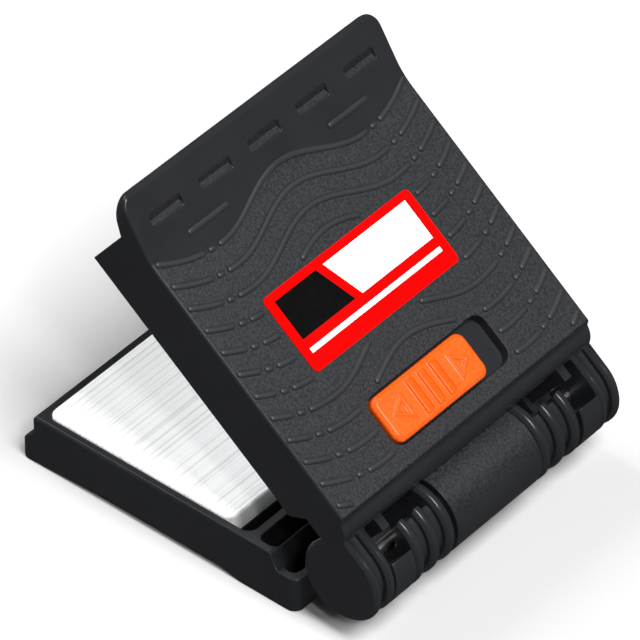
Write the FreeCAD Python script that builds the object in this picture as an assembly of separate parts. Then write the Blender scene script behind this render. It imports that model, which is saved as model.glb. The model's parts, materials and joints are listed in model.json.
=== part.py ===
import FreeCAD, Part
import math
import os

# Fibre cleaning clip: two hinged plastic jaws with felt pads, sprung open.
# Millimetres. X runs along the hinge, -Y is the front with the finger lips, +Z is up.
# Both jaws are drawn closed about the hinge axis, then the cover is turned to its open stop.
# A reach is a distance in front of the hinge axis.

# Jaws
open_angle = 37.6
hinge_height = 9.5
cover_width = 50.0
cover_front = 51.2
cover_top = 8.65
cover_skirt = 0.2
rim_drop = 1.5
base_overhang = 0.5
base_setback = 0.2

# Cover shell
roof_thickness = 1.9
cover_wall = 1.6
cover_corner = 2.5
edge_round = 0.4
rear_top = 6.4
rear_wall = 2.0
rear_shelf = 5.85
rear_drop = 1.0
rear_edge = 3.7
rear_bead_end = 5.35
rear_bead_bulge = 0.3
notch_front = 10.4
notch_back = 8.9
notch_height = 2.4

# Flared lip of the cover
lip_overhang = 4.2
lip_length = 11.4
lip_bend = 12.0
lip_angle = 20.0
lip_thickness = 1.7
lip_root = 7.2
lip_slot_count = 5
lip_slot_margin = 2.75
lip_slot_length = 6.5
lip_slot_width = 2.0
lip_slot_depth = 0.65
lip_slot_wall = 0.9
lip_slot_inset = 4.9
lip_rib_inset = 8.9
lip_rib_from = 10.4
lip_rib_to = 17.1

# Wave ribs on the cover
rib_width = 0.95
rib_height = 0.35
rib_draft = 0.18
rib_root = 0.1
rib_chord = 3.2
row_pitch = 3.42
first_row_gap = 0.9
wave_depth = 3.7
wave_half = 14.0
flank_sag = 0.0253
dash_end_inset = 0.5
waist_inset = 3.2
waist_reach = 22.0
waist_curve = 0.0095
dot_length = 0.35
dot_gap = 1.15
keep_out = 1.1
rear_keep_out = 0.9
shortest_rib = 1.4

# Label on the cover
label_length = 28.8
label_depth = 11.5
label_offset = 0.3
label_reach = 28.5
label_thickness = 0.15
label_corner = 0.8

# Slide button and its recess
button_length = 18.2
button_width = 6.8
button_travel = 4.4
button_end_gap = 0.25
button_side_gap = 0.3
button_rise = 0.85
button_corner = 1.4
button_chamfer = 0.5
button_float = 0.1
recess_depth = 1.6
recess_reach = 12.5
recess_corner = 1.7
recess_floor = 1.3
recess_wall = 1.3
arrow_inset = 1.5
arrow_length = 3.0
arrow_width = 4.0
arrow_line = 0.55
arrow_rise = 0.3
step_count = 3
step_pitch = 2.3
step_length = 5.0
step_width = 1.3
step_rise = 0.45
step_foot = 0.08
stem_length = 2.4
stem_width = 2.2
stem_offset = -2.5
stem_clearance = 0.2
hook_overhang = 0.7
hook_height = 0.8
hook_gap = 0.15
fill_hole_radius = 1.6
fill_hole_inset = 2.2

# Finned hinge knuckles
fin_radius = 6.05
hub_radius = 5.0
fin_thickness = 1.4
fin_chamfer = 0.45
ear_groove = 1.2
pin_window = 3.9
stub_inset = 0.7
stub_thickness = 1.4
knuckle_gap = 0.35
base_fin_thickness = 1.7
base_fin_chamfer = 0.5
base_groove = 1.35
base_fin_count = 3
barrel_radius = 6.0
barrel_wall = 1.2
barrel_gap = 0.4
barrel_cut = -0.8
fin_cut = 2.2
swing_gap = 0.35
window_front = 1.9
window_back = 2.1
window_depth = 2.6
block_overlap = 2.4

# Pin and spring
pin_radius = 1.0
pin_clearance = 0.05
pin_cap = 1.2
pin_inset = 0.2
wire_radius = 0.4
coil_radius = 2.4
coil_turns = 2
coil_pitch = 1.1
wire_flats = 5
leg_clearance = 0.05

# Base tray
base_wall = 1.2
base_floor = 1.6
arch_height = 1.0
arch_rear = 16.0
arch_slope = 4.0
arch_front_inset = 11.0
base_lip_length = 2.4
base_lip_foot = 1.5
base_lip_tip = 0.7
base_lip_height = 2.6
base_lip_root = 5.2
rear_clearance = 0.55
base_step_length = 3.2
base_step_slope = 1.4
base_step_drop = 2.5
base_corner = 1.5
rim_chamfer = 0.3
cross_rib_thickness = 1.2
cross_rib_inset = 4.0
cross_rib_pitch = 4.1
cross_rib_count = 2
pocket_corner = 1.0
bed_rib_count = 4
bed_rib_thickness = 1.2

# Felt pads
pad_thickness = 3.2
pad_clearance = 0.1
pad_corner = 1.5
pad_back = 18.6
pad_proud = 0.35
pad_meeting_gap = 0.5
upper_pad_rear_gap = 0.6
upper_pad_side = 1.0
upper_pad_thickness = 3.0
seat_rib_thickness = 1.2
seat_rib_pitch = 18.0
seat_rib_count = 3

# Worked-out places
base_width = cover_width + 2 * base_overhang
base_front = cover_front - base_setback
base_lip_reach = base_front + base_lip_length
base_rear = fin_radius + rear_clearance
base_bottom = -hinge_height
tray_floor = base_bottom + arch_height + base_floor
rim = -rim_drop
hinge_y = (base_lip_reach - fin_radius) / 2
swing_radius = max(fin_radius, barrel_radius) + swing_gap
rear_wall_inside = rear_top + rear_wall
cover_inside_top = cover_top - roof_thickness
lip_reach = cover_front + lip_overhang
lip_start = lip_reach - lip_length
first_row = lip_start - first_row_gap
row_count = math.ceil((first_row - rear_top) / row_pitch) + 1
recess_length = button_length + button_travel + 2 * button_end_gap
recess_width = button_width + 2 * button_side_gap
recess_bottom = cover_top - recess_depth
recess_underside = recess_bottom - recess_floor
button_middle = recess_length / 2 - button_end_gap - button_length / 2
button_top = cover_top + button_rise
pad_bottom = rim + pad_proud - pad_thickness
upper_pad_low = rim + pad_proud + pad_meeting_gap
upper_pad_high = upper_pad_low + upper_pad_thickness
ear_inner = cover_width / 2 - 2 * fin_thickness - ear_groove - pin_window
knuckle_half = ear_inner - knuckle_gap
base_fin_pitch = base_fin_thickness + base_groove
barrel_half = knuckle_half - base_fin_count * base_fin_pitch + base_groove - barrel_gap
leg_room = coil_radius + wire_radius + leg_clearance

# Modelling aids: how far pieces sink into each other, a cutter's reach, and a small length
overlap = 0.4
far = 80.0
tiny = 0.01


def point(y, z, x=0.0):
    return FreeCAD.Vector(x, y, z)


def line(a, b):
    return Part.makeLine(point(*a), point(*b))


def arc(a, through, b):
    return Part.Arc(point(*a), point(*through), point(*b)).toShape()


def side_prism(outline, x0, x1):
    # Straight-sided outline in the side view, pushed along the hinge
    wire = Part.makePolygon([point(y, z, x0) for y, z in outline + outline[:1]])
    return Part.Face(wire).extrude(FreeCAD.Vector(x1 - x0, 0, 0))


def flat_prism(outline, z0, z1):
    # Straight-sided outline in the top view, pushed upwards
    wire = Part.makePolygon([FreeCAD.Vector(x, y, z0) for x, y in outline + outline[:1]])
    return Part.Face(wire).extrude(FreeCAD.Vector(0, 0, z1 - z0))


def box(x0, x1, y0, y1, z0, z1):
    return Part.makeBox(x1 - x0, y1 - y0, z1 - z0, FreeCAD.Vector(x0, y0, z0))


def cylinder(radius, x0, x1):
    return Part.makeCylinder(radius, x1 - x0, FreeCAD.Vector(x0, 0, 0), FreeCAD.Vector(1, 0, 0))


def rounded_plate(x0, x1, y0, y1, z0, z1, radius):
    # Plate with its four upright edges rounded
    plate = box(x0, x1, y0, y1, z0, z1)
    upright = [e for e in plate.Edges if abs(e.Vertexes[0].Z - e.Vertexes[1].Z) > (z1 - z0) / 2]
    return plate.makeFillet(radius, upright)


def both_sides(shape):
    return [shape, shape.mirror(FreeCAD.Vector(0, 0, 0), FreeCAD.Vector(1, 0, 0))]


# Rib rows: a wave over the middle and a sagging flank towards each side


def row_y(row, x):
    level = -first_row + row_pitch * row
    if abs(x) < wave_half:
        return level - wave_depth * (1 + math.cos(math.pi * x / wave_half)) / 2
    return level - flank_sag * (abs(x) - wave_half) ** 2


def row_slope(x):
    if abs(x) < wave_half:
        return wave_depth * math.pi / (2 * wave_half) * math.sin(math.pi * x / wave_half)
    return -2 * flank_sag * math.copysign(abs(x) - wave_half, x)


def dash_start(row):
    level = first_row - row_pitch * row
    return cover_width / 2 - waist_inset - waist_curve * (level - waist_reach) ** 2


def inside(x, y, length, width, x_mid, reach):
    return abs(x - x_mid) < length / 2 + keep_out and abs(y + reach) < width / 2 + keep_out


def clear_of_fittings(row, x):
    y = row_y(row, x)
    on_label = inside(x, y, label_length, label_depth, label_offset, label_reach)
    on_recess = inside(x, y, recess_length, recess_width, 0.0, recess_reach)
    return not on_label and not on_recess and y < -rear_top - rear_keep_out


def clear_spans(row, x0, x1):
    # Stretches of a row that miss the label, the recess and the rear edge
    count = int((x1 - x0) / (rib_width / 8))
    spans = []
    start = None
    for i in range(count + 1):
        x = x0 + (x1 - x0) * i / count
        if clear_of_fittings(row, x) and i < count:
            start = x if start is None else start
        elif start is not None:
            spans.append((start, x))
            start = None
    return spans


def beside_row(row, x, forward, left):
    # Place a given way along and across a row from its point at x
    slope = row_slope(x)
    size = math.hypot(1.0, slope)
    return (x + (forward - left * slope) / size, row_y(row, x) + (forward * slope + left) / size)


def rib_wire(row, x0, x1, half_width, z):
    # Outline of one rib: its sides follow the row in short chords, and its ends are cut like an octagon's
    chords = max(1, math.ceil((x1 - x0) / rib_chord))
    stations = [x0 + (x1 - x0) * i / chords for i in range(chords + 1)]
    corner = half_width * math.sqrt(0.5)
    outline = [beside_row(row, x, 0.0, half_width) for x in stations]
    outline += [beside_row(row, x1, corner, corner), beside_row(row, x1, corner, -corner)]
    outline += [beside_row(row, x, 0.0, -half_width) for x in reversed(stations)]
    outline += [beside_row(row, x0, -corner, -corner), beside_row(row, x0, -corner, corner)]
    return Part.makePolygon([FreeCAD.Vector(x, y, z) for x, y in outline + outline[:1]])


def row_rib(row, x0, x1):
    root = rib_wire(row, x0, x1, rib_width / 2, cover_top - rib_root)
    crest = rib_wire(row, x0, x1, rib_width / 2 - rib_draft, cover_top + rib_height)
    return Part.makeLoft([root, crest], True, True)


def wave_ribs():
    # Each row is a long middle wave, and on each side a dot and a dash
    ribs = []
    half = rib_width / 2
    outer = cover_width / 2 - dash_end_inset - half
    for row in range(row_count):
        start = dash_start(row)
        dot = start - dot_gap - half
        middle = dot - dot_gap - half
        for x0, x1 in clear_spans(row, start, outer):
            ribs += both_sides(row_rib(row, x0, x1))
        if clear_of_fittings(row, dot):
            ribs += both_sides(row_rib(row, dot - dot_length / 2, dot + dot_length / 2))
        for x0, x1 in clear_spans(row, -middle, middle):
            if x1 - x0 > shortest_rib:
                ribs.append(row_rib(row, x0, x1))
    return ribs


# Cover


def lip_height(reach):
    # Upper face of the cover over its front part: flat, then bent up, then straight
    angle = math.radians(lip_angle)
    past_start = reach - lip_start
    bend_end = lip_bend * math.sin(angle)
    if past_start < bend_end:
        return cover_top + lip_bend - math.sqrt(lip_bend ** 2 - past_start ** 2)
    return cover_top + lip_bend * (1 - math.cos(angle)) + (past_start - bend_end) * math.tan(angle)


def on_lip(reach):
    return (-reach, lip_height(reach))


def cover_form():
    # Side view of the cover, with the lip bent up and a bead along the rear, pushed across its width
    angle = math.radians(lip_angle)
    tip = on_lip(lip_reach)
    bend = on_lip(lip_start + lip_bend * math.sin(angle))
    bend_middle = on_lip(lip_start + lip_bend * math.sin(angle / 2))
    under_tip = (-lip_reach, tip[1] - lip_thickness / math.cos(angle))
    shelf = (-rear_shelf, cover_top - rear_drop)
    bead_end = (-rear_edge, rear_bead_end)
    bead_middle = [(a + b) / 2 + rear_bead_bulge for a, b in zip(shelf, bead_end)]
    top = [(-lip_start, cover_top), (-rear_top, cover_top), shelf]
    below = [bead_end, (-rear_edge, -cover_skirt), (-cover_front, -cover_skirt), (-cover_front, lip_root),
             under_tip, tip, bend]
    edges = [line(a, b) for a, b in zip(top[:-1], top[1:])]
    edges.append(arc(shelf, bead_middle, bead_end))
    edges += [line(a, b) for a, b in zip(below[:-1], below[1:])]
    edges.append(arc(bend, bend_middle, top[0]))
    face = Part.Face(Part.Wire(edges))
    half = cover_width / 2
    form = face.translated(FreeCAD.Vector(-half, 0, 0)).extrude(FreeCAD.Vector(cover_width, 0, 0))
    form = form.common(rounded_plate(-half, half, -lip_reach, far, -far, far, cover_corner))
    return form.makeFillet(edge_round, [e for e in form.Edges if is_top_edge(e)])


def is_top_edge(edge):
    # Upper rims along both sides, round the lip's corners, along its front and along the rear
    half = cover_width / 2
    middle = edge.valueAt((edge.FirstParameter + edge.LastParameter) / 2)
    ends = [v.Point for v in edge.Vertexes]
    upright = math.hypot(ends[0].x - ends[1].x, ends[0].y - ends[1].y) < tiny
    if upright or min(p.z for p in ends) < cover_top - tiny:
        return False
    if abs(ends[0].x - ends[1].x) > half:
        on_tip = middle.y < -lip_reach + tiny and middle.z > lip_height(lip_reach) - tiny
        return on_tip or middle.y > -rear_top - tiny
    on_side = abs(abs(middle.x) - half) < tiny
    on_corner = middle.y < -lip_reach + cover_corner and middle.z > lip_height(-middle.y) - tiny
    return on_side or on_corner


def cover_cavity():
    half = cover_width / 2 - cover_wall
    return box(-half, half, -cover_front + cover_wall, -rear_wall_inside, -far, cover_inside_top)


def ear_plate(radius, x0, x1, chamfer):
    # Round plate whose top runs on forwards into the cover, with both rims bevelled if a chamfer is given
    front = -rear_wall_inside
    step = (-math.sqrt(radius ** 2 - notch_height ** 2), notch_height)
    edges = [line((front, radius), (0.0, radius)), arc((0.0, radius), (radius, 0.0), (0.0, -radius)),
             arc((0.0, -radius), (-radius, 0.0), step), line(step, (front, notch_height)),
             line((front, notch_height), (front, radius))]
    face = Part.Face(Part.Wire(edges)).translated(FreeCAD.Vector(x0, 0, 0))
    plate = face.extrude(FreeCAD.Vector(x1 - x0, 0, 0))
    return plate.makeChamfer(chamfer, rim_edges(plate, x0) + rim_edges(plate, x1)) if chamfer else plate


def rim_edges(plate, x):
    # Edges of a plate's face at x, apart from its straight front
    edges = [e for e in plate.Edges if all(abs(v.X - x) < tiny for v in e.Vertexes)]
    return [e for e in edges if e.BoundBox.YMax > -rear_wall_inside + tiny]


def ear():
    # Two fins on a hub at the side of the cover, then a ring with a window onto the pin and a stub before it
    outer = cover_width / 2
    second = outer - fin_thickness - ear_groove
    ring_end = second - fin_thickness
    first_fin = ear_plate(fin_radius, outer - fin_thickness, outer, fin_chamfer)
    second_fin = ear_plate(fin_radius, ring_end, second, fin_chamfer)
    hub = ear_plate(hub_radius, second - fin_thickness / 2, outer - fin_thickness / 2, 0.0)
    window = box(ear_inner - overlap, ring_end, -far, window_back, -window_depth, far)
    ring = ear_plate(fin_radius, ear_inner, ring_end, 0.0).cut(window)
    stub_start = ear_inner + stub_inset
    stub = ear_plate(fin_radius, stub_start, stub_start + stub_thickness, 0.0)
    stub = stub.common(box(ear_inner, ring_end, -far, -window_front, -window_depth, far))
    return first_fin.multiFuse([hub, second_fin, ring, stub])


def seat_ribs():
    # Ribs inside the roof that the upper pad sits against
    ribs = []
    half = seat_rib_thickness / 2
    for i in range(seat_rib_count):
        x = seat_rib_pitch * (i - (seat_rib_count - 1) / 2)
        back = -rear_wall_inside + overlap
        if abs(x) < recess_length / 2 + recess_wall:
            back = -recess_reach - recess_width / 2 - recess_wall + overlap
        ribs.append(box(x - half, x + half, -cover_front + cover_wall - overlap, back,
                        upper_pad_high, cover_inside_top + overlap))
    return ribs


def recess():
    long_half = recess_length / 2
    wide_half = recess_width / 2
    return rounded_plate(-long_half, long_half, -recess_reach - wide_half, -recess_reach + wide_half,
                         recess_bottom, far, recess_corner)


def recess_boss():
    # Floor and walls of the recess, inside the roof
    long_half = recess_length / 2 + recess_wall
    wide_half = recess_width / 2 + recess_wall
    return box(-long_half, long_half, -recess_reach - wide_half, -recess_reach + wide_half,
               recess_underside, cover_top - overlap)


def stem_slot():
    rest = button_middle + stem_offset
    half = stem_length / 2 + stem_clearance
    wide_half = stem_width / 2 + stem_clearance
    return box(rest - half - button_travel, rest + half,
               -recess_reach - wide_half, -recess_reach + wide_half,
               recess_underside - overlap, recess_bottom + overlap)


def fill_hole():
    foot = point(-recess_reach, recess_underside - overlap, recess_length / 2 - fill_hole_inset)
    return Part.makeCylinder(fill_hole_radius, recess_floor + 2 * overlap, foot)


def leg_notch():
    # Way for the spring's upper leg through the foot of the rear wall
    leg = upper_leg().BoundBox
    margin = 2 * wire_radius
    return box(leg.XMin - margin, leg.XMax + margin, -rear_wall_inside - overlap, 0, -far, leg_room)


def bar_outline(x0, x1, half):
    # Straight bar along the hinge direction whose ends are cut like an octagon's
    corner = half * math.sqrt(0.5)
    return [(x0, half), (x1, half), (x1 + corner, corner), (x1 + corner, -corner),
            (x1, -half), (x0, -half), (x0 - corner, -corner), (x0 - corner, corner)]


def lip_slots():
    # Finger pockets: each slopes in from the lip's tip and rises again at a shorter wall
    slots = []
    pitch = (cover_width - 2 * lip_slot_margin - lip_slot_length) / (lip_slot_count - 1)
    place = point(*on_lip(lip_reach - lip_slot_inset))
    half = lip_slot_width / 2
    end = lip_slot_length / 2 - half
    groove = [(-half, 0.0), (-half, overlap), (half, overlap), (half, 0.0),
              (half - lip_slot_wall, -lip_slot_depth)]
    plan = flat_prism(bar_outline(-end, end, half), -far, far)
    pocket = side_prism(groove, -lip_slot_length, lip_slot_length).common(plan)
    pocket.rotate(FreeCAD.Vector(0, 0, 0), FreeCAD.Vector(1, 0, 0), -lip_angle)
    for i in range(lip_slot_count):
        across = FreeCAD.Vector(pitch * (i - (lip_slot_count - 1) / 2), 0, 0)
        slots.append(pocket.translated(place + across))
    return slots


def lip_ribs():
    # Short straight rib across each side of the lip's bend
    reach = lip_reach - lip_rib_inset
    outline = bar_outline(lip_rib_from, lip_rib_to, rib_width / 2)
    rib = flat_prism(outline, cover_top - rib_root, lip_height(reach) + rib_height)
    return both_sides(rib.translated(point(-reach, 0)))


def top_cover():
    side = cover_width / 2 + overlap
    inner_side = cover_width / 2 - fin_thickness / 2
    form = cover_form()
    notch = [(-notch_front, -far), (-notch_front, -cover_skirt), (-notch_back, notch_height),
             (far, notch_height), (far, -far)]
    rear_bar = form.common(box(-ear_inner, ear_inner, -rear_wall_inside, -rear_edge, -cover_skirt, far))
    shell = form.cut(cover_cavity()).cut(side_prism(notch, -side, side)).fuse(rear_bar)
    shell = shell.cut(cylinder(swing_radius, -inner_side, inner_side))
    shell = shell.multiFuse(seat_ribs() + [recess_boss()] + both_sides(ear()))
    bore = cylinder(pin_radius, -far, cover_width / 2 - pin_cap)
    cuts = [recess(), stem_slot(), fill_hole(), bore, leg_notch()]
    for cut in cuts + lip_slots():
        shell = shell.cut(cut)
    return shell.multiFuse(wave_ribs() + lip_ribs()).removeSplitter()


# Slide button


def arrow(direction):
    # Triangle outline near one end of the button that points outwards
    tail = button_middle + direction * (button_length / 2 - arrow_inset - arrow_length)
    tip = tail + direction * arrow_length
    slant = math.hypot(arrow_length, arrow_width / 2)
    inner_tail = tail + direction * arrow_line
    inner_tip = tip - direction * arrow_line * slant / (arrow_width / 2)
    inner_half = arrow_width / 2 * abs(inner_tip - inner_tail) / arrow_length
    half = arrow_width / 2
    outer = [(tail, -recess_reach - half), (tail, -recess_reach + half), (tip, -recess_reach)]
    inner = [(inner_tail, -recess_reach - inner_half), (inner_tail, -recess_reach + inner_half),
             (inner_tip, -recess_reach)]
    top = button_top + arrow_rise
    return flat_prism(outer, button_top - overlap, top).cut(flat_prism(inner, button_top, top))


def thumb_step(x):
    # Wedge across the button that a thumb pushes against
    wedge = [(x - step_width / 2, -overlap), (x - step_width / 2, step_foot),
             (x + step_width / 2, step_rise), (x + step_width / 2, -overlap)]
    start = -recess_reach - step_length / 2
    corners = [FreeCAD.Vector(px, start, button_top + rise) for px, rise in wedge + wedge[:1]]
    return Part.Face(Part.makePolygon(corners)).extrude(FreeCAD.Vector(0, step_length, 0))


def hooked_stem():
    x0 = button_middle + stem_offset - stem_length / 2
    x1 = x0 + stem_length
    half = stem_width / 2
    hook_top = recess_underside - hook_gap
    stem = box(x0, x1, -recess_reach - half, -recess_reach + half, hook_top - hook_height,
               recess_bottom + button_float + overlap)
    hook = box(x0, x1, -recess_reach - half - hook_overhang, -recess_reach + half + hook_overhang,
               hook_top - hook_height, hook_top)
    return stem.fuse(hook)


def slide_button():
    body = rounded_plate(button_middle - button_length / 2, button_middle + button_length / 2,
                         -recess_reach - button_width / 2, -recess_reach + button_width / 2,
                         recess_bottom + button_float, button_top, button_corner)
    top_rim = [e for e in body.Edges if min(v.Z for v in e.Vertexes) > button_top - tiny]
    body = body.makeChamfer(button_chamfer, top_rim)
    steps = [thumb_step(button_middle + step_pitch * (i - (step_count - 1) / 2)) for i in range(step_count)]
    return body.multiFuse([arrow(-1), arrow(1), hooked_stem()] + steps).removeSplitter()


# Base


def base_body():
    arch = base_bottom + arch_height
    outline = [(-base_rear, base_bottom), (-arch_rear, base_bottom), (-arch_rear - arch_slope, arch),
               (-base_front + arch_front_inset, arch), (-base_front - base_lip_foot, base_bottom),
               (-base_lip_reach, base_bottom + base_lip_tip),
               (-base_lip_reach, base_bottom + base_lip_height),
               (-base_front, base_bottom + base_lip_root), (-base_front, rim),
               (-base_rear - base_step_length - base_step_slope, rim),
               (-base_rear - base_step_length, rim - base_step_drop), (-base_rear, rim - base_step_drop)]
    half = base_width / 2
    plan = rounded_plate(-half, half, -base_lip_reach, -base_rear, -far, far, base_corner)
    body = side_prism(outline, -half, half).common(plan)
    top_rim = [e for e in body.Edges if min(v.Z for v in e.Vertexes) > rim - tiny]
    return body.makeChamfer(rim_chamfer, top_rim)


def tray_pocket(front, back, corner):
    # Hollow in the tray between two reaches, with round corners
    half = base_width / 2 - base_wall
    return rounded_plate(-half, half, -front, -back, tray_floor, far, corner)


def tray_pockets():
    # The bed for the pad runs back to the first cross rib, and smaller pockets follow it
    pockets = []
    half = cross_rib_thickness / 2
    back = base_rear + base_wall
    for i in range(cross_rib_count):
        reach = base_rear + cross_rib_inset + cross_rib_pitch * i
        pockets.append(tray_pocket(reach - half, back, pocket_corner))
        back = reach + half
    pockets.append(tray_pocket(base_front - base_wall, back, pad_corner))
    return pockets


def bed_ribs():
    # Low ribs under the pad that carry it
    ribs = []
    half = base_width / 2 - base_wall + overlap
    pitch = (base_front - base_wall - pad_back) / bed_rib_count
    for i in range(bed_rib_count):
        y = -pad_back - bed_rib_thickness / 2 - pitch * i
        ribs.append(box(-half, half, y - bed_rib_thickness / 2, y + bed_rib_thickness / 2,
                        tray_floor - overlap, pad_bottom))
    return ribs


def base_fin(i):
    # Round fin with both rims bevelled, counted inwards from the end of the knuckle
    outer = knuckle_half - base_fin_pitch * i
    fin = cylinder(fin_radius, outer - base_fin_thickness, outer)
    return fin.makeChamfer(base_fin_chamfer, [e for e in fin.Edges if len(e.Vertexes) == 1])


def base_knuckle():
    # Finned sides and a smooth barrel, open to the front above the block that holds them.
    # The innermost fins stay whole round the pin.
    hub = cylinder(hub_radius, barrel_half, knuckle_half - base_fin_chamfer)
    fins = [base_fin(i) for i in range(base_fin_count)]
    open_side = hub.multiFuse(fins[:-1]).cut(box(-far, far, -far, fin_cut, -leg_room, far))
    sides = both_sides(open_side.fuse(fins[-1]))
    spring_room = cylinder(barrel_radius - barrel_wall, -barrel_half, barrel_half)
    barrel_front = box(-far, far, -far, barrel_cut, -leg_room, far)
    barrel = cylinder(barrel_radius, -barrel_half, barrel_half).cut(spring_room).cut(barrel_front)
    block = box(-knuckle_half, knuckle_half, -base_rear - block_overlap, 0, -fin_radius, -leg_room)
    return sides + [barrel, block.cut(spring_room)]


def base_tray():
    body = base_body().cut(Part.makeCompound(tray_pockets()))
    body = body.multiFuse(bed_ribs() + base_knuckle())
    return body.cut(cylinder(pin_radius + pin_clearance, -far, far)).removeSplitter()


# Pads, label, pin and spring


def lower_pad():
    half = base_width / 2 - base_wall - pad_clearance
    return rounded_plate(-half, half, -base_front + base_wall + pad_clearance, -pad_back,
                         pad_bottom, pad_bottom + pad_thickness, pad_corner)


def upper_pad():
    half = cover_width / 2 - cover_wall - upper_pad_side
    return rounded_plate(-half, half, -cover_front + cover_wall + pad_clearance,
                         -rear_wall_inside - upper_pad_rear_gap, upper_pad_low, upper_pad_high, pad_corner)


def top_label():
    return rounded_plate(label_offset - label_length / 2, label_offset + label_length / 2,
                         -label_reach - label_depth / 2, -label_reach + label_depth / 2,
                         cover_top, cover_top + label_thickness, label_corner)


def hinge_pin():
    return cylinder(pin_radius, -cover_width / 2 + pin_inset, cover_width / 2 - pin_cap)


def coil_point(turn):
    # The coil is a chain of half-turn arcs, each tilted by half the pitch, from its lowest point backwards
    half_turn = int(2 * turn)
    angle = math.pi * (2 * turn - half_turn)
    side = -1 if half_turn % 2 else 1
    rise = coil_pitch / 2
    x = rise * (half_turn + 0.5 - math.cos(angle) / 2) - coil_pitch * coil_turns / 2
    back = math.hypot(coil_radius, rise / 2) * math.sin(angle)
    return point(side * back, -side * coil_radius * math.cos(angle), x)


def coil_arc(start, stop):
    return Part.Arc(coil_point(start), coil_point((start + stop) / 2), coil_point(stop)).toShape()


def last_arc():
    # The coil stops where its leg lies flat against the cover at the open stop
    return coil_arc(coil_turns, coil_turns + (180.0 - open_angle) / 360.0)


def upper_leg():
    coil_end = last_arc()
    start = coil_end.valueAt(coil_end.LastParameter)
    return Part.makeLine(start, start + coil_end.tangentAt(coil_end.LastParameter) * rear_wall_inside)


def torsion_spring():
    # Coil about the pin, with one leg along the base and one under the cover's rear wall
    start = coil_point(0)
    foot = start - FreeCAD.Vector(0, rear_wall_inside, 0)
    half_turns = [coil_arc(i / 2, (i + 1) / 2) for i in range(2 * coil_turns)]
    path = Part.Wire([Part.makeLine(foot, start)] + half_turns + [last_arc(), upper_leg()])
    corners = []
    for i in range(wire_flats + 1):
        angle = 2 * math.pi * i / wire_flats
        corners.append(foot + FreeCAD.Vector(math.sin(angle), 0, math.cos(angle)) * wire_radius)
    return path.makePipeShell([Part.makePolygon(corners)], True, False)


def open_cover(shape):
    shape.rotate(FreeCAD.Vector(0, 0, 0), FreeCAD.Vector(1, 0, 0), -open_angle)
    return shape


def main():
    os.makedirs("parts", exist_ok=True)
    pieces = {"base_tray": base_tray(), "lower_pad": lower_pad(), "torsion_spring": torsion_spring(),
              "top_cover": open_cover(top_cover()), "upper_pad": open_cover(upper_pad()),
              "top_label": open_cover(top_label()), "slide_button": open_cover(slide_button()),
              "hinge_pin": open_cover(hinge_pin())}
    for name, shape in pieces.items():
        shape.translate(FreeCAD.Vector(0, hinge_y, hinge_height))
        shape.exportStep("parts/" + name + ".step")
        print(name, "solids", len(shape.Solids), "volume", round(shape.Volume, 1), "valid", shape.isValid())


main()
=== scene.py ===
import json
from math import ceil, cos, hypot, pi, radians, sin, sqrt

import bmesh
import bpy
from mathutils import Matrix, Vector


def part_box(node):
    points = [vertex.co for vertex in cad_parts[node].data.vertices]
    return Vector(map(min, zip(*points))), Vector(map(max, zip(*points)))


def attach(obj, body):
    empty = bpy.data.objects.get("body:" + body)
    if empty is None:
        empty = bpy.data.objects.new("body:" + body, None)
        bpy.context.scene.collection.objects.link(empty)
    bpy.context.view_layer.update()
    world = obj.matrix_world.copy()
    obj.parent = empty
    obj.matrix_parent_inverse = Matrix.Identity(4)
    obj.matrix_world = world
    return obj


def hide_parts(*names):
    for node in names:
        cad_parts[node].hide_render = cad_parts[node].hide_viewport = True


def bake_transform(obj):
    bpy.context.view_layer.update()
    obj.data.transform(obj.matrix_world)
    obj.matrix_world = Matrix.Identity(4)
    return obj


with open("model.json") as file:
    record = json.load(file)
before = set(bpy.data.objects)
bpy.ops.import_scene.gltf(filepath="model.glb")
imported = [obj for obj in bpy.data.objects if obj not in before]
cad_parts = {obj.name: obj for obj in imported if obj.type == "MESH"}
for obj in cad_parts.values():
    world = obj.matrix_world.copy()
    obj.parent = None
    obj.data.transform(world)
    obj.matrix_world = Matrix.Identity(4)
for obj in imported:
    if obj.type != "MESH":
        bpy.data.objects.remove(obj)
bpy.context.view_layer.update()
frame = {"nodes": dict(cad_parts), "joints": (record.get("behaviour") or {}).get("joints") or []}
nodes = frame["nodes"]
mm = 0.001
hingeJoint = next(j for j in frame["joints"] if j["name"] == "cover_hinge")
hinge = Vector(hingeJoint["pos_m"])
openAngle = radians(hingeJoint["range_deg"][1])
# a place on the closed cover, measured from the pin, to where it stands with the cover open
closedToOpen = Matrix.Translation(hinge) @ Matrix.Rotation(-openAngle, 4, "X")
openToClosed = closedToOpen.inverted()
print("frame loaded,", len(nodes), "nodes")


def addObject(name, data):
    obj = bpy.data.objects.new(name, data)
    bpy.context.scene.collection.objects.link(obj)
    return obj


# camera: the photograph's angle, with the pin's middle at a set place in the picture
cameraLook = {"azimuth": 129.08, "elevation": 41.3, "roll": -0.94, "sensor": 36, "lens": 405.46,
              "distance": 921.75 * mm, "hingeRight": 18.45 * mm, "hingeUp": -20.41 * mm}


def placeCamera(look):
    az, el, roll = (radians(look[k]) for k in ("azimuth", "elevation", "roll"))
    back = Vector((sin(az) * cos(el), -cos(az) * cos(el), sin(el)))
    flatRight = Vector((cos(az), sin(az), 0))
    flatUp = back.cross(flatRight)
    right = cos(roll) * flatRight - sin(roll) * flatUp
    up = sin(roll) * flatRight + cos(roll) * flatUp
    data = bpy.data.cameras.new("photoCamera")
    data.sensor_width = look["sensor"]
    data.lens = look["lens"]
    cam = addObject("photoCamera", data)
    turn = Matrix((right, up, back)).transposed().to_4x4()
    turn.translation = hinge - look["hingeRight"] * right - look["hingeUp"] * up + look["distance"] * back
    cam.matrix_world = turn
    bpy.context.scene.camera = cam


placeCamera(cameraLook)
bpy.context.scene.view_settings.view_transform = "Standard"
print("camera placed")


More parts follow.
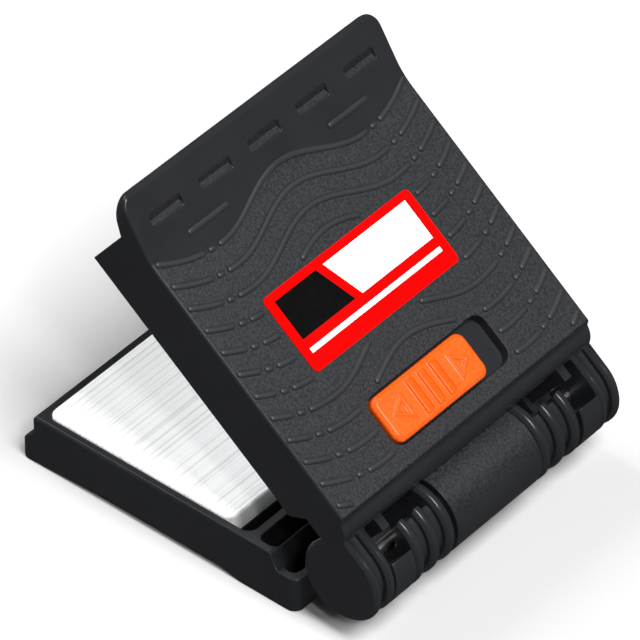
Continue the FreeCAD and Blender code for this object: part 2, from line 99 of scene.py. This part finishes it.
# small helpers for node trees
def newMaterial(name):
    mat = bpy.data.materials.new(name)
    mat.use_nodes = True
    return mat, mat.node_tree, mat.node_tree.nodes["Principled BSDF"]


def setInputs(tree, node, inputs):
    # a socket is linked, anything else is set on the input itself
    for key, value in inputs.items():
        if isinstance(value, bpy.types.NodeSocket):
            tree.links.new(value, node.inputs[key])
        else:
            node.inputs[key].default_value = value


def addNode(tree, kind, inputs, **settings):
    made = tree.nodes.new(kind)
    for key, value in settings.items():
        setattr(made, key, value)
    setInputs(tree, made, inputs)
    return made


def maths(tree, operation, a, b=0.0):
    return addNode(tree, "ShaderNodeMath", {0: a, 1: b}, operation=operation).outputs[0]


def objectCoords(tree):
    return addNode(tree, "ShaderNodeTexCoord", {}).outputs["Object"]


def stretchedCoords(tree, scale):
    return addNode(tree, "ShaderNodeMapping", {"Vector": objectCoords(tree), "Scale": scale}).outputs[0]


def pinCoords(tree, turn=0.0):
    # x, y, z about the pin; turned by minus the open angle, they are those of the closed cover
    inputs = {"Vector": objectCoords(tree), "Location": hinge, "Rotation": (turn, 0, 0)}
    place = addNode(tree, "ShaderNodeMapping", inputs, vector_type="TEXTURE").outputs[0]
    return addNode(tree, "ShaderNodeSeparateXYZ", {0: place}).outputs


def noise(tree, coords, size, detail=2.0, roughness=0.5):
    inputs = {"Vector": coords, "Scale": 1 / size, "Detail": detail, "Roughness": roughness}
    return addNode(tree, "ShaderNodeTexNoise", inputs).outputs["Fac"]


def span(tree, value, low, high, newLow=0.0, newHigh=1.0):
    inputs = {"Value": value, "From Min": low, "From Max": high, "To Min": newLow, "To Max": newHigh}
    return addNode(tree, "ShaderNodeMapRange", inputs).outputs[0]


def mixColours(tree, factor, first, second):
    colours = [c if isinstance(c, bpy.types.NodeSocket) else (*c, 1) for c in (first, second)]
    inputs = {"Factor": factor, 6: colours[0], 7: colours[1]}  # 6, 7 and output 2 are the colour sockets
    return addNode(tree, "ShaderNodeMix", inputs, data_type="RGBA").outputs[2]


def bump(tree, height, strength, distance, under=None):
    inputs = {"Height": height, "Strength": strength, "Distance": distance}
    if under is not None:
        inputs["Normal"] = under
    return addNode(tree, "ShaderNodeBump", inputs).outputs[0]


# upper face of the closed cover about the pin: level, then bent up into the lip; rows of ribs follow a wave
coverTop = {"level": 8.65 * mm, "lipStart": 44.0 * mm, "bend": 12.0 * mm, "lipAngle": radians(20),
            "firstRow": 43.1 * mm, "waveDepth": 3.7 * mm, "waveHalf": 14.0 * mm, "sag": 0.0253 / mm}


def coverSurface(y):
    past = -y - coverTop["lipStart"]
    bendEnd = coverTop["bend"] * sin(coverTop["lipAngle"])
    if past < 0:
        return coverTop["level"]
    if past < bendEnd:
        return coverTop["level"] + coverTop["bend"] - sqrt(coverTop["bend"] ** 2 - past ** 2)
    straight = (past - bendEnd) * sin(coverTop["lipAngle"]) / cos(coverTop["lipAngle"])
    return coverTop["level"] + coverTop["bend"] * (1 - cos(coverTop["lipAngle"])) + straight


def waveShape(x):
    # how far a row lies in front of its level, and its slope there
    half = coverTop["waveHalf"]
    depth = coverTop["waveDepth"]
    if abs(x) < half:
        return depth * (1 + cos(pi * x / half)) / 2, depth * pi / (2 * half) * sin(pi * x / half)
    over = abs(x) - half
    return coverTop["sag"] * over ** 2, -2 * coverTop["sag"] * over * (1 if x > 0 else -1)


# charcoal moulded plastic: a fine blasted grain where the mould is textured, a satin skin elsewhere
charcoal = {"grainDark": (0.0026, 0.0028, 0.0033), "grainLight": (0.0222, 0.0237, 0.0272),
            "grainSize": 0.34 * mm, "grainDetail": 3.0, "grainBreak": 0.65, "grainSpan": (0.32, 0.68),
            "grainBump": 0.6, "grainDepth": 0.07 * mm, "grainRough": 0.55,
            "skinSize": 0.16 * mm, "skinDetail": 1.0, "skinBump": 0.5, "skinDepth": 0.010 * mm,
            "skinRough": 0.27, "cloudSize": 9 * mm, "cloudDetail": 3.0, "cloudSpan": (0.3, 0.7),
            "ribRough": 0.45, "specular": 0.28}
# the ribs' tones are a lighter copy of the same charcoal: painted light, so the ribs on the lit upper face
# read brighter than the walls
skinTones = {"walls": ((0.0134, 0.0141, 0.0160), (0.0160, 0.0169, 0.0191)),
             "ribs": ((0.018, 0.0189, 0.0206), (0.022, 0.0231, 0.0252))}


def paintCharcoal(name, tones, roughness, mask=None):
    mat, tree, shader = newMaterial(name)
    coords = objectCoords(tree)
    clouds = noise(tree, coords, charcoal["cloudSize"], charcoal["cloudDetail"])
    tone = mixColours(tree, span(tree, clouds, *charcoal["cloudSpan"]), *tones)
    skin = noise(tree, coords, charcoal["skinSize"], charcoal["skinDetail"])
    normal = bump(tree, skin, charcoal["skinBump"], charcoal["skinDepth"])
    if mask:
        grained = mask(tree)
        grain = noise(tree, coords, charcoal["grainSize"], charcoal["grainDetail"], charcoal["grainBreak"])
        speckle = span(tree, grain, *charcoal["grainSpan"])
        grainTone = mixColours(tree, speckle, charcoal["grainDark"], charcoal["grainLight"])
        tone = mixColours(tree, grained, tone, grainTone)
        relief = maths(tree, "MULTIPLY", grain, grained)
        normal = bump(tree, relief, charcoal["grainBump"], charcoal["grainDepth"], normal)
        roughness = span(tree, grained, 0, 1, roughness, charcoal["grainRough"])
    setInputs(tree, shader, {"Base Color": tone, "Normal": normal, "Roughness": roughness,
                             "Specular IOR Level": charcoal["specular"]})
    return mat


# where the mould is textured: the cover's level top, the finger pockets and the upper part of the barrel
topField = {"frontFade": 0.4 * mm, "edgeFade": (-0.12 * mm, -0.06 * mm)}
pocketField = {"middle": -50.5 * mm, "halfStrip": 1.2 * mm, "half": 23.6 * mm, "deepest": 1.0 * mm,
               "fade": (0.10 * mm, 0.30 * mm)}
barrelField = {"half": 8.4 * mm, "fade": (1.5 * mm, 4.6 * mm)}


def coverMask(tree):
    split = pinCoords(tree, -openAngle)
    return maths(tree, "MAXIMUM", topMask(tree, split), pocketMask(tree, split))


def topMask(tree, split):
    # behind the first wave row and not below the level top
    across = maths(tree, "ABSOLUTE", split["X"])
    inner = maths(tree, "MINIMUM", across, coverTop["waveHalf"])
    wave = maths(tree, "COSINE", maths(tree, "MULTIPLY", inner, pi / coverTop["waveHalf"]))
    crest = span(tree, wave, -1, 1, 0.0, coverTop["waveDepth"])
    outer = maths(tree, "MAXIMUM", maths(tree, "SUBTRACT", across, coverTop["waveHalf"]), 0.0)
    flank = maths(tree, "MULTIPLY", maths(tree, "MULTIPLY", outer, outer), coverTop["sag"])
    fromRow = maths(tree, "ADD", split["Y"], coverTop["firstRow"])
    fromWave = maths(tree, "ADD", fromRow, maths(tree, "ADD", crest, flank))
    behind = span(tree, fromWave, 0.0, topField["frontFade"])
    above = maths(tree, "SUBTRACT", split["Z"], coverTop["level"])
    return maths(tree, "MULTIPLY", behind, span(tree, above, *topField["edgeFade"]))


def pocketMask(tree, split):
    # sunk below the lip's straight face, in the strip that holds the finger pockets
    slope = sin(coverTop["lipAngle"]) / cos(coverTop["lipAngle"])
    middle = pocketField["middle"]
    rise = maths(tree, "MULTIPLY", maths(tree, "SUBTRACT", middle, split["Y"]), slope)
    sunk = maths(tree, "SUBTRACT", maths(tree, "ADD", rise, coverSurface(middle)), split["Z"])
    off = maths(tree, "ABSOLUTE", maths(tree, "SUBTRACT", split["Y"], middle))
    inStrip = maths(tree, "LESS_THAN", off, pocketField["halfStrip"])
    inReach = maths(tree, "LESS_THAN", maths(tree, "ABSOLUTE", split["X"]), pocketField["half"])
    inDepth = maths(tree, "LESS_THAN", sunk, pocketField["deepest"])
    inside = maths(tree, "MULTIPLY", maths(tree, "MULTIPLY", inStrip, inDepth), inReach)
    return maths(tree, "MULTIPLY", inside, span(tree, sunk, *pocketField["fade"]))


def barrelMask(tree):
    # upper part of the smooth barrel between the fins
    split = pinCoords(tree)
    across = maths(tree, "LESS_THAN", maths(tree, "ABSOLUTE", split["X"]), barrelField["half"])
    return maths(tree, "MULTIPLY", across, span(tree, split["Z"], *barrelField["fade"]))


coverPlastic = paintCharcoal("coverPlastic", skinTones["walls"], charcoal["skinRough"], coverMask)
basePlastic = paintCharcoal("basePlastic", skinTones["walls"], charcoal["skinRough"], barrelMask)
# lighter copy of the cover's charcoal for the ribs: painted light
litRibPlastic = paintCharcoal("litRibPlastic", skinTones["ribs"], charcoal["ribRough"])


# orange slider plastic
orange = {"deep": (0.62, 0.066, 0.001), "bright": (0.79, 0.098, 0.003), "grainSize": 0.35 * mm,
          "grainDetail": 2.0, "grainBreak": 0.6, "grainSpan": (0.3, 0.7), "grainBump": 0.4,
          "grainDepth": 0.05 * mm, "glossSize": 4 * mm, "glossSpan": (0.3, 0.7, 0.38, 0.45), "specular": 0.36}


def paintOrange():
    mat, tree, shader = newMaterial("orangePlastic")
    coords = objectCoords(tree)
    grain = noise(tree, coords, orange["grainSize"], orange["grainDetail"], orange["grainBreak"])
    tone = mixColours(tree, span(tree, grain, *orange["grainSpan"]), orange["deep"], orange["bright"])
    rough = span(tree, noise(tree, coords, orange["glossSize"]), *orange["glossSpan"])
    normal = bump(tree, grain, orange["grainBump"], orange["grainDepth"])
    setInputs(tree, shader, {"Base Color": tone, "Normal": normal, "Roughness": rough,
                             "Specular IOR Level": orange["specular"]})
    return mat


# white pressed felt; faint darker lines along the hinge direction are painted shadows of loose fibres
felt = {"white": (0.95, 0.955, 0.96), "shade": (0.66, 0.67, 0.68), "rough": 0.95, "sheen": 0.25,
        "hairSize": 0.25 * mm, "hairDetail": 4.0, "hairBreak": 0.7, "hairShade": (0.5, 0.8, 0.0, 0.3),
        "lineStretch": (0.003, 1, 0.3), "lineSize": 0.42 * mm, "lineDetail": 1.0, "lineBreak": 0.4,
        "fibreShadowShade": (0.52, 0.66, 0.0, 0.7), "tuftSize": 3 * mm, "tuftShare": 0.6, "bump": 0.5,
        "depth": 0.12 * mm}


def paintFelt():
    mat, tree, shader = newMaterial("whiteFelt")
    coords = objectCoords(tree)
    hair = noise(tree, coords, felt["hairSize"], felt["hairDetail"], felt["hairBreak"])
    along = stretchedCoords(tree, felt["lineStretch"])
    lines = noise(tree, along, felt["lineSize"], felt["lineDetail"], felt["lineBreak"])
    tufts = noise(tree, coords, felt["tuftSize"])
    # the stretched lines darken the felt as painted shadows of loose fibres; the hair noise is the felt's own
    # uneven tone
    shade = maths(tree, "ADD", span(tree, lines, *felt["fibreShadowShade"]), span(tree, hair, *felt["hairShade"]))
    tone = mixColours(tree, shade, felt["white"], felt["shade"])
    height = maths(tree, "ADD", hair, maths(tree, "MULTIPLY", tufts, felt["tuftShare"]))
    normal = bump(tree, height, felt["bump"], felt["depth"])
    setInputs(tree, shader, {"Base Color": tone, "Normal": normal, "Roughness": felt["rough"],
                             "Sheen Weight": felt["sheen"]})
    return mat


# bright steel for the pin and the spring, drawn along the hinge
steel = {"stretch": (0.05, 1, 1), "markSize": 0.2 * mm, "markDetail": 3.0, "markSpan": (0.3, 0.7),
         "roughMore": 0.15}
steelTones = {"pinSteel": {"low": (0.36, 0.36, 0.37), "high": (0.52, 0.52, 0.53), "rough": 0.2},
              "springSteel": {"low": (0.38, 0.38, 0.40), "high": (0.55, 0.55, 0.57), "rough": 0.3}}


def paintSteel(name):
    mat, tree, shader = newMaterial(name)
    look = steelTones[name]
    marks = noise(tree, stretchedCoords(tree, steel["stretch"]), steel["markSize"], steel["markDetail"])
    tone = mixColours(tree, marks, look["low"], look["high"])
    rough = span(tree, marks, *steel["markSpan"], look["rough"], look["rough"] + steel["roughMore"])
    setInputs(tree, shader, {"Base Color": tone, "Roughness": rough, "Metallic": 1.0})
    return mat


# printed film for the label and its fields
film = {"inkSize": 0.8 * mm, "inkDetail": 3.0, "inkBump": 0.1, "inkDepth": 0.01 * mm, "glossSize": 5 * mm,
        "glossSpan": (0.3, 0.7, 0.34, 0.46), "specular": 0.02}
filmTones = {"redFilm": ((0.62, 0.0007, 0.0007), (0.70, 0.001, 0.001)),
             "whiteFilm": ((0.90, 0.90, 0.90), (0.95, 0.95, 0.95)),
             "blackFilm": ((0.002, 0.002, 0.002), (0.004, 0.004, 0.004))}


def paintFilm(name):
    mat, tree, shader = newMaterial(name)
    coords = objectCoords(tree)
    ink = noise(tree, coords, film["inkSize"], film["inkDetail"])
    tone = mixColours(tree, ink, *filmTones[name])
    rough = span(tree, noise(tree, coords, film["glossSize"]), *film["glossSpan"])
    normal = bump(tree, ink, film["inkBump"], film["inkDepth"])
    setInputs(tree, shader, {"Base Color": tone, "Normal": normal, "Roughness": rough,
                             "Specular IOR Level": film["specular"]})
    return mat


orangePlastic = paintOrange()
whiteFelt = paintFelt()
pinSteel = paintSteel("pinSteel")
springSteel = paintSteel("springSteel")
redFilm = paintFilm("redFilm")
whiteFilm = paintFilm("whiteFilm")
blackFilm = paintFilm("blackFilm")
print("materials made")


def dress(obj, mat):
    obj.data.materials.clear()
    obj.data.materials.append(mat)


def addPiece(name, bm, mat, body, sharp=35):  # edges over this many degrees stay sharp
    mesh = bpy.data.meshes.new(name)
    bm.to_mesh(mesh)
    bm.free()
    obj = addObject(name, mesh)
    dress(obj, mat)
    mesh.shade_smooth()
    mesh.set_sharp_from_angle(angle=radians(sharp))
    if body:
        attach(obj, body)
    return obj


for nodeName, mat in (("top_cover", coverPlastic), ("base_tray", basePlastic),
                      ("slide_button", orangePlastic), ("hinge_pin", pinSteel),
                      ("torsion_spring", springSteel), ("top_label", redFilm)):
    dress(nodes[nodeName], mat)


# the moulded pieces again with softened edges: round fin crests, small rounds on rims, pockets and steps
softEdges = {"finLeast": radians(30), "finMost": radians(60), "finFrom": 8 * mm, "finFront": 8.5 * mm,
             "finRound": 0.24 * mm, "finSteps": 3, "nose": 2.2 * mm, "noseFrom": 4 * mm,
             "rim": 0.10 * mm, "sliderRim": 0.16 * mm, "rimSteps": 2, "rimAngle": radians(38),
             "merge": 0.002 * mm, "weld": 0.0004 * mm, "near": 0.01 * mm, "flat": radians(0.4),
             "faceWeight": 60}


def mergedCopy(nodeName, place):
    bm = bmesh.new()
    bm.from_mesh(nodes[nodeName].data)
    bmesh.ops.transform(bm, matrix=place, verts=bm.verts)
    bmesh.ops.remove_doubles(bm, verts=bm.verts, dist=softEdges["merge"])
    return bm


def joinFlats(bm):
    bmesh.ops.dissolve_limit(bm, angle_limit=softEdges["flat"], verts=bm.verts, edges=bm.edges)


def roundEdges(bm, edges, width, steps, clamp=True):
    bmesh.ops.bevel(bm, geom=edges, offset=width, offset_type="OFFSET", affect="EDGES", segments=steps,
                    profile=0.5, material=-1, clamp_overlap=clamp)
    return len(edges)


def cutAcross(bm, y):
    everything = bm.verts[:] + bm.edges[:] + bm.faces[:]
    return bmesh.ops.bisect_plane(bm, geom=everything, plane_co=(0, y, 0), plane_no=(0, 1, 0))["geom_cut"]


def isFinRim(edge):
    # bevelled rim of a hinge fin, in a frame about the pin
    a, b = (v.co for v in edge.verts)
    if abs(a.x - b.x) > softEdges["near"] or abs(a.x) < softEdges["finFrom"]:
        return False
    if min(a.y, b.y) < -softEdges["finFront"]:
        return False
    return edge.is_manifold and softEdges["finLeast"] < edge.calc_face_angle(0) < softEdges["finMost"]


def isFinNose(edge):
    # upper end of a fin that is cut off in front, in a frame about the pin
    inLine = all(abs(v.co.y - softEdges["nose"]) < softEdges["near"] for v in edge.verts)
    isHigh = all(v.co.z > softEdges["noseFrom"] for v in edge.verts)
    return inLine and isHigh and edge.is_manifold and edge.calc_face_angle(0) > softEdges["finLeast"]


def roundFins(bm):
    rims = [e for e in bm.edges if isFinRim(e) or isFinNose(e)]
    return roundEdges(bm, rims, softEdges["finRound"], softEdges["finSteps"])


def weighRims(bm, inner=False):
    # the rim bevel takes sharp outer edges, and inner ones where asked, but leaves the finger pockets
    weight = bm.edges.layers.float.new("bevel_weight_edge")
    for edge in bm.edges:
        sharp = (edge.is_convex or inner) and edge.calc_face_angle(0) > softEdges["rimAngle"]
        edge[weight] = 1.0 if sharp and not isInPocket(edge) else 0.0


def finishMoulding(piece, width):
    soft = piece.modifiers.new("softRims", "BEVEL")
    soft.width = width
    soft.segments = softEdges["rimSteps"]
    soft.use_clamp_overlap = False  # one tiny edge would narrow every rim
    soft.limit_method = "WEIGHT"
    soft.profile = 0.5
    join = piece.modifiers.new("joinPoints", "WELD")
    join.merge_threshold = softEdges["weld"]
    level = piece.modifiers.new("levelNormals", "WEIGHTED_NORMAL")
    level.keep_sharp = True
    level.weight = softEdges["faceWeight"]


# wave ribs: each rib of the cover's copy is pressed flat and made again as a smooth bead
waveRibs = {"halfWidth": 0.475 * mm, "height": 0.35 * mm, "sink": 0.06 * mm, "around": 8, "capRows": 4,
            "row": 0.9 * mm, "square": 0.7, "crestEnd": 0.21 * mm, "least": 0.2 * mm, "sameRow": 0.5 * mm,
            "lipGap": 1 * mm, "sharp": 60}


def crestIslands(bm):
    # joined vertices that stand above the cover's upper face, one group for each rib
    left = {v for v in bm.verts if v.co.z > coverSurface(v.co.y) + waveRibs["least"]}
    islands = []
    while left:
        island = [left.pop()]
        for v in island:  # the list grows while it is read
            near = [e.other_vert(v) for e in v.link_edges if e.other_vert(v) in left]
            left.difference_update(near)
            island += near
        islands.append(island)
    return islands


def addBead(bm, x0, x1, level, onLip):
    body = max(1, ceil((x1 - x0) / waveRibs["row"]))
    caps = waveRibs["capRows"]
    rows = body + 2 * caps
    wide = waveRibs["halfWidth"]
    sheet = bmesh.ops.create_grid(bm, x_segments=rows, y_segments=waveRibs["around"], size=0.5)["verts"]
    for v in sheet:
        row = round((v.co.x + 0.5) * rows) - caps
        lean = v.co.y * pi  # across the bead, from one foot to the other
        turn = (min(row, 0) + max(row - body, 0)) / caps * pi / 2  # round the ends
        x = x0 + (x1 - x0) * min(max(row, 0), body) / body
        shape, slope = (0.0, 0.0) if onLip else waveShape(x)
        forward = wide * sin(turn)
        left = wide * cos(turn) * sin(lean)
        size = hypot(1.0, slope)
        y = level - shape + (forward * slope + left) / size
        dome = max(cos(turn) * cos(lean), 0.0) ** waveRibs["square"]
        z = coverSurface(y) + (waveRibs["height"] + waveRibs["sink"]) * dome - waveRibs["sink"]
        v.co = (x + (forward - left * slope) / size, y, z)


def readRib(island):
    # both ends along the hinge direction and how far back the row lies; a bar on the lip is straight
    xs = [v.co.x for v in island]
    onLip = max(v.co.y for v in island) < -coverTop["lipStart"] - waveRibs["lipGap"]
    shapes = [0.0 if onLip else waveShape(x)[0] for x in xs]
    level = sum(v.co.y + shape for v, shape in zip(island, shapes)) / len(island)
    end = waveRibs["crestEnd"]
    return {"x0": min(xs) + end, "x1": max(xs) - end, "level": level, "onLip": onLip}


def isFirstRow(rib):
    return not rib["onLip"] and abs(rib["level"] + coverTop["firstRow"]) < waveRibs["sameRow"]


def joinFirstRow(ribs):
    # the first row runs on unbroken over the bend, so its two halves become one bead
    first = [r for r in ribs if isFirstRow(r)]
    left = max((r for r in first if r["x1"] < 0), key=lambda r: r["x1"])
    right = min((r for r in first if r["x0"] > 0), key=lambda r: r["x0"])
    left["x1"] = right["x1"]
    left["level"] = -coverTop["firstRow"]
    ribs.remove(right)


def makeBeads(ribs):
    bm = bmesh.new()
    for rib in ribs:
        addBead(bm, rib["x0"], rib["x1"], rib["level"], rib["onLip"])
    bmesh.ops.remove_doubles(bm, verts=bm.verts, dist=softEdges["merge"])
    bmesh.ops.holes_fill(bm, edges=[e for e in bm.edges if e.is_boundary], sides=0)
    bmesh.ops.recalc_face_normals(bm, faces=bm.faces)
    bmesh.ops.transform(bm, matrix=closedToOpen, verts=bm.verts)
    addPiece("waveRibs", bm, litRibPlastic, "cover", waveRibs["sharp"])


# finger pockets on the lip: rims, corners and valley rounded
lipPockets = {"front": 52.2 * mm, "back": 48.4 * mm, "half": 23.6 * mm, "depth": 1.0 * mm,
              "sharp": radians(15), "round": 0.28 * mm, "steps": 3}


def isInPocket(edge):
    for v in edge.verts:
        below = coverSurface(v.co.y) - v.co.z
        if not (-lipPockets["front"] < v.co.y < -lipPockets["back"] and abs(v.co.x) < lipPockets["half"]):
            return False
        if not -softEdges["near"] < below < lipPockets["depth"]:
            return False
    return True


def isPocketEdge(edge):
    return isInPocket(edge) and edge.is_manifold and edge.calc_face_angle(0) > lipPockets["sharp"]


def roundPockets(bm):
    rims = [e for e in bm.edges if isPocketEdge(e)]
    return roundEdges(bm, rims, lipPockets["round"], lipPockets["steps"])


# front edge of the lip, cut into narrow strips that then follow a wider round
lipEdge = {"reach": 55.4 * mm, "round": 1.2 * mm,
           "strips": [s * mm for s in (0.07, 0.15, 0.25, 0.37, 0.52, 0.70, 0.92, 1.2)]}
lipBars = {"front": 47.5 * mm, "back": 45.5 * mm, "near": 0.02 * mm, "sliver": 0.3 * mm}


def roundLip(bm):
    wide = lipEdge["round"]
    for strip in lipEdge["strips"]:
        cutAcross(bm, strip - lipEdge["reach"])
    for v in bm.verts:
        short = wide - max(v.co.y + lipEdge["reach"], 0)
        if short > 0:
            v.co.z = min(v.co.z, coverSurface(v.co.y) - wide + sqrt(wide ** 2 - short ** 2))


def isByBars(v):
    return lipBars["back"] < -v.co.y < lipBars["front"]


def clearSlivers(bm):
    # the flattened bars of the lip leave slivers where the upper face bends
    onFace = [v for v in bm.verts if isByBars(v) and abs(coverSurface(v.co.y) - v.co.z) < lipBars["near"]]
    bmesh.ops.remove_doubles(bm, verts=onFace, dist=lipBars["sliver"])
    edges = {e for v in bm.verts if isByBars(v) for e in v.link_edges}
    bmesh.ops.dissolve_degenerate(bm, dist=lipBars["near"], edges=list(edges))


def makeCover():
    bm = mergedCopy("top_cover", openToClosed)
    ribs = [readRib(island) for island in crestIslands(bm)]
    joinFirstRow(ribs)
    makeBeads(ribs)
    for v in bm.verts:
        v.co.z = min(v.co.z, coverSurface(v.co.y))
    roundLip(bm)
    joinFlats(bm)
    clearSlivers(bm)
    pockets = roundPockets(bm)
    rims = roundFins(bm)
    weighRims(bm)
    bmesh.ops.transform(bm, matrix=closedToOpen, verts=bm.verts)
    piece = addPiece("coverMoulding", bm, coverPlastic, "cover")
    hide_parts("top_cover")
    finishMoulding(piece, softEdges["rim"])
    print("cover softened,", len(ribs), "ribs,", pockets, "pocket edges,", rims, "fin rim edges")


def makeBase():
    bm = mergedCopy("base_tray", Matrix.Translation(-hinge))
    joinFlats(bm)
    rims = roundFins(bm)
    weighRims(bm)
    bmesh.ops.transform(bm, matrix=Matrix.Translation(hinge), verts=bm.verts)
    piece = addPiece("baseMoulding", bm, basePlastic, "base")
    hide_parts("base_tray")
    finishMoulding(piece, softEdges["rim"])
    print("base softened,", rims, "fin rim edges")


# thumb slider: crests of its steps and arrows rounded enough to catch the light
sliderLook = {"stepRound": 0.27 * mm, "arrowRound": 0.18 * mm, "arrowBelow": 0.15 * mm, "near": 0.01 * mm,
              "sharp": radians(30), "steps": 4}


def roundCrests(bm, level, width):
    atLevel = [e for e in bm.edges if all(abs(v.co.z - level) < sliderLook["near"] for v in e.verts)]
    crests = [e for e in atLevel if e.is_manifold and e.calc_face_angle(0) > sliderLook["sharp"]]
    return roundEdges(bm, crests, width, sliderLook["steps"])


def makeSlider():
    bm = mergedCopy("slide_button", openToClosed)
    joinFlats(bm)
    top = max(v.co.z for v in bm.verts)
    steps = roundCrests(bm, top, sliderLook["stepRound"])
    arrows = roundCrests(bm, top - sliderLook["arrowBelow"], sliderLook["arrowRound"])
    weighRims(bm, inner=True)
    bmesh.ops.transform(bm, matrix=closedToOpen, verts=bm.verts)
    piece = addPiece("thumbSlider", bm, orangePlastic, "button")
    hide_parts("slide_button")
    finishMoulding(piece, softEdges["sliderRim"])
    print("slider softened,", steps, "step crests,", arrows, "arrow crests")


# spring wire: a smooth-shaded copy of the torsion spring, attached to neither base nor cover; on the real
# clip one leg stays on the base, the other turns with the cover, and the coil winds between them
springLook = {"still": -0.7 * mm, "turned": 1.15 * mm, "sharp": 80}


def makeSpring():
    bm = mergedCopy("torsion_spring", Matrix.Identity(4))
    piece = addPiece("springWire", bm, springSteel, None, springLook["sharp"])
    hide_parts("torsion_spring")
    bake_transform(piece)
    print("spring smoothed")


makeCover()
makeBase()
makeSlider()
makeSpring()


# felt pads: soft slabs with round corners, a crushed rim and shallow lines pressed across them
padLook = {"corner": 1.5 * mm, "cornerSteps": 6, "rim": 0.45 * mm, "rimSteps": 4, "linePitch": 1.25 * mm,
           "dip": 0.05 * mm, "skin": 0.49}


def riseOf(edge):
    return abs(edge.verts[0].co.z - edge.verts[1].co.z)


def pressLines(bm, low, high):
    size = high - low
    lines = int(size.y / padLook["linePitch"])
    middle = (low.z + high.z) / 2
    for i in range(1, 2 * lines):
        cut = cutAcross(bm, low.y + size.y * i / (2 * lines))
        if i % 2 == 0:
            continue  # every second cut keeps its height
        for v in cut:
            if isinstance(v, bmesh.types.BMVert) and abs(v.co.z - middle) > padLook["skin"] * size.z:
                v.co.z -= padLook["dip"] * (1 if v.co.z > middle else -1)


def makePad(nodeName, name, body, place, box):
    low, high = box
    size = high - low
    bm = bmesh.new()
    bmesh.ops.create_cube(bm, size=1.0)
    bmesh.ops.scale(bm, vec=size, verts=bm.verts)
    bmesh.ops.translate(bm, vec=(low + high) / 2, verts=bm.verts)
    upright = [e for e in bm.edges if riseOf(e) > size.z / 2]
    roundEdges(bm, upright, padLook["corner"], padLook["cornerSteps"], clamp=False)
    flat = [e for e in bm.edges if riseOf(e) < softEdges["near"]]
    roundEdges(bm, flat, padLook["rim"], padLook["rimSteps"], clamp=False)
    pressLines(bm, low, high)
    bmesh.ops.transform(bm, matrix=place, verts=bm.verts)
    pad = addPiece(name, bm, whiteFelt, body)
    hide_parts(nodeName)


def closedBox(nodeName):
    # box of a cover piece before the cover was opened
    points = [openToClosed @ v.co for v in nodes[nodeName].data.vertices]
    corners = [[pick(p[i] for p in points) for i in range(3)] for pick in (min, max)]
    return Vector(corners[0]), Vector(corners[1])


makePad("lower_pad", "lowerFelt", "base", Matrix.Identity(4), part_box("lower_pad"))
makePad("upper_pad", "upperFelt", "cover", closedToOpen, closedBox("upper_pad"))
print("felt pads made")


# label: red film carries plain white and black fields and one white line, placed by shares of its box
labelLook = {"lift": 0.02 * mm}
labelFields = (("labelPanel", whiteFilm, ((0.05, 0.10), (0.62, 0.10), (0.54, 0.62), (0.05, 0.62))),
               ("labelEnd", blackFilm, ((0.67, 0.10), (0.95, 0.10), (0.95, 0.62), (0.59, 0.62))),
               ("labelLine", whiteFilm, ((0.05, 0.74), (0.95, 0.74), (0.95, 0.80), (0.05, 0.80))))


def placeOnLabel(u, v):
    low, high = closedBox("top_label")
    return Vector((low.x + u * (high.x - low.x), low.y + v * (high.y - low.y), high.z))


def addField(name, mat, corners):
    bm = bmesh.new()
    face = bm.faces.new([bm.verts.new(placeOnLabel(u, v)) for u, v in corners])
    face.normal_update()
    if face.normal.z < 0:
        bmesh.ops.reverse_faces(bm, faces=[face])
    raised = bmesh.ops.extrude_face_region(bm, geom=[face])["geom"]
    upper = [v for v in raised if isinstance(v, bmesh.types.BMVert)]
    bmesh.ops.translate(bm, vec=(0, 0, labelLook["lift"]), verts=upper)
    bmesh.ops.recalc_face_normals(bm, faces=bm.faces)
    bmesh.ops.transform(bm, matrix=closedToOpen, verts=bm.verts)
    addPiece(name, bm, mat, "cover")


for fieldName, mat, corners in labelFields:
    addField(fieldName, mat, corners)
print("label made")


# pale floor and dim white surroundings
studio = {"floor": 6.0, "white": (0.50, 0.50, 0.502), "warm": (0.52, 0.52, 0.522), "cloudSize": 0.4,
          "cloudDetail": 1.0, "rough": 0.9, "skyColour": (1, 1, 1, 1), "sky": 0.06}
# a key from behind the hinge, a fill into the open jaws and a small lamp for edges
lamps = {"hingeKey": {"toward": (0.06, 0.47, 0.88), "away": 1.2, "energy": 24.0, "size": (0.45, 0.45)},
         "jawFill": {"toward": (0.10, -0.76, 0.64), "away": 1.2, "energy": 14.0, "size": (0.7, 0.7)},
         "edgeLight": {"toward": (0.41, 0.56, 0.72), "away": 1.0, "energy": 2.0, "size": (0.08, 0.08)}}


def makeFloor():
    bm = bmesh.new()
    bmesh.ops.create_grid(bm, x_segments=1, y_segments=1, size=studio["floor"] / 2)
    mesh = bpy.data.meshes.new("paleFloor")
    bm.to_mesh(mesh)
    bm.free()
    floor = addObject("paleFloor", mesh)
    mat, tree, shader = newMaterial("paleFloor")
    clouds = noise(tree, objectCoords(tree), studio["cloudSize"], studio["cloudDetail"])
    tone = mixColours(tree, clouds, studio["white"], studio["warm"])
    setInputs(tree, shader, {"Base Color": tone, "Roughness": studio["rough"]})
    dress(floor, mat)
    floor.visible_glossy = False  # dark walls stay dark beside a bright floor


def makeSky():
    world = bpy.data.worlds.new("studioSky")
    world.use_nodes = True
    background = world.node_tree.nodes["Background"]
    setInputs(world.node_tree, background, {"Color": studio["skyColour"], "Strength": studio["sky"]})
    bpy.context.scene.world = world


def addLamp(name, look):
    data = bpy.data.lights.new(name, "AREA")
    data.shape = "RECTANGLE"
    data.size, data.size_y = look["size"]
    data.energy = look["energy"]
    lamp = addObject(name, data)
    lamp.location = look["away"] * Vector(look["toward"]).normalized()
    lamp.rotation_euler = (-lamp.location).to_track_quat("-Z", "Y").to_euler()


makeFloor()
makeSky()
for lampName, look in lamps.items():
    addLamp(lampName, look)
print("stage and light set")
